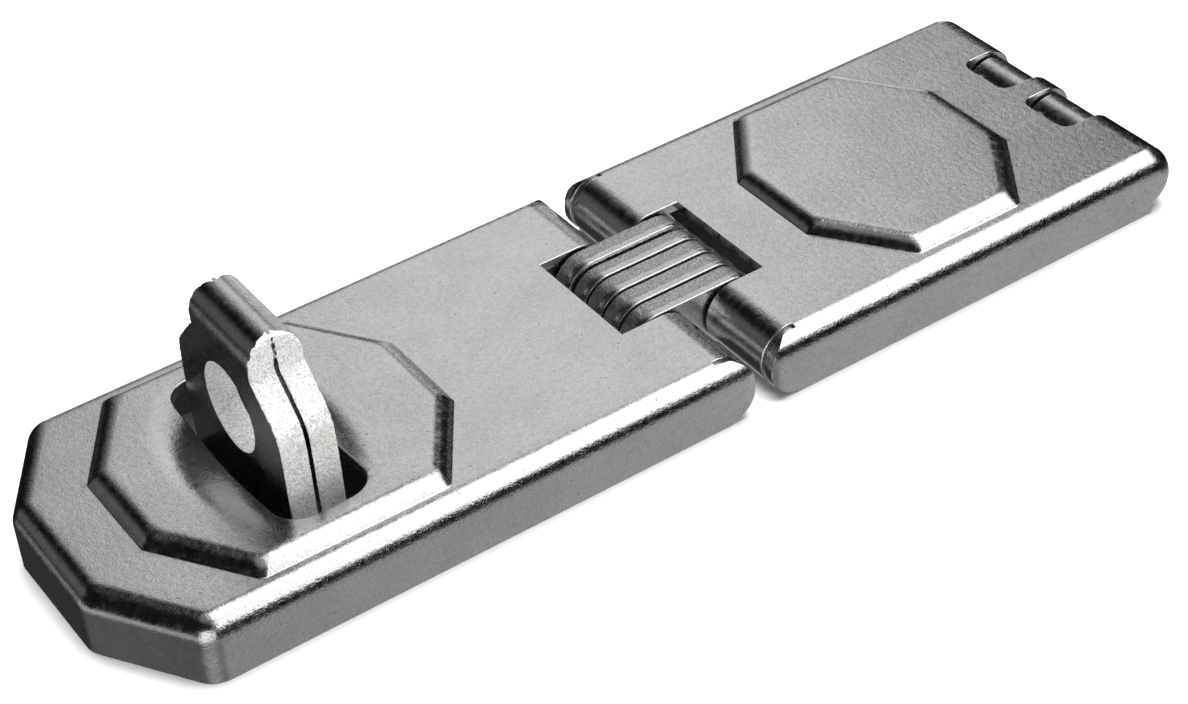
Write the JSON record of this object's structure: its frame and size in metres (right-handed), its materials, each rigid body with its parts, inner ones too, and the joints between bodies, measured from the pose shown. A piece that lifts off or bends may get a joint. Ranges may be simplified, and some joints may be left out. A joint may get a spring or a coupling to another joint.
{
  "type": "hasp and staple",
  "caption": "Double-jointed pressed-steel hasp with raised octagonal pads, a link of stacked plates, a hidden hinge plate and a folded staple for a padlock.",
  "frame": {"origin": "on the surface the hasp is screwed to, under the middle of its overall box", "axes": "+X along the hasp from its nose to its hinge, +Y across it, +Z out of the mounting surface"},
  "size_m": [0.155, 0.046, 0.03],
  "materials": {
    "leaf_steel": "bright zinc plating, satin, with fine pits",
    "link_steel": "plated, with sheared edges",
    "staple_steel": "plated, with rough cut edges",
    "plate_steel": "plated, satin",
    "pin_steel": "plated, smooth"
  },
  "bodies": {
    "base": {"hinge_plate": "plate_steel"},
    "cover": {"cover_leaf": "leaf_steel", "hinge_pin": "pin_steel", "cover_link_pin": "pin_steel"},
    "link": {"link_plate_1": "link_steel", "link_plate_2": "link_steel", "link_plate_3": "link_steel", "link_plate_4": "link_steel", "link_plate_5": "link_steel"},
    "hasp": {"hasp_leaf": "leaf_steel", "hasp_link_pin": "pin_steel"},
    "staple": {"staple": "staple_steel"}
  },
  "joints": [
    {"name": "cover_hinge", "type": "hinge", "parent": "base", "child": "cover", "pos_m": [0.07305, 0, 0.00445], "axis": [0, 1, 0], "range_deg": [0, 170]},
    {"name": "link_hinge", "type": "hinge", "parent": "cover", "child": "link", "pos_m": [0.01405, 0, 0.00445], "axis": [0, 1, 0], "range_deg": [-45, 75]},
    {"name": "hasp_hinge", "type": "hinge", "parent": "link", "child": "hasp", "pos_m": [0.00275, 0, 0.00445], "axis": [0, 1, 0], "range_deg": [-45, 75]},
    {"name": "staple_lift", "type": "slide", "parent": "hasp", "child": "staple", "axis": [0, 0, -1], "range_m": [0, 0.035]}
  ]
}
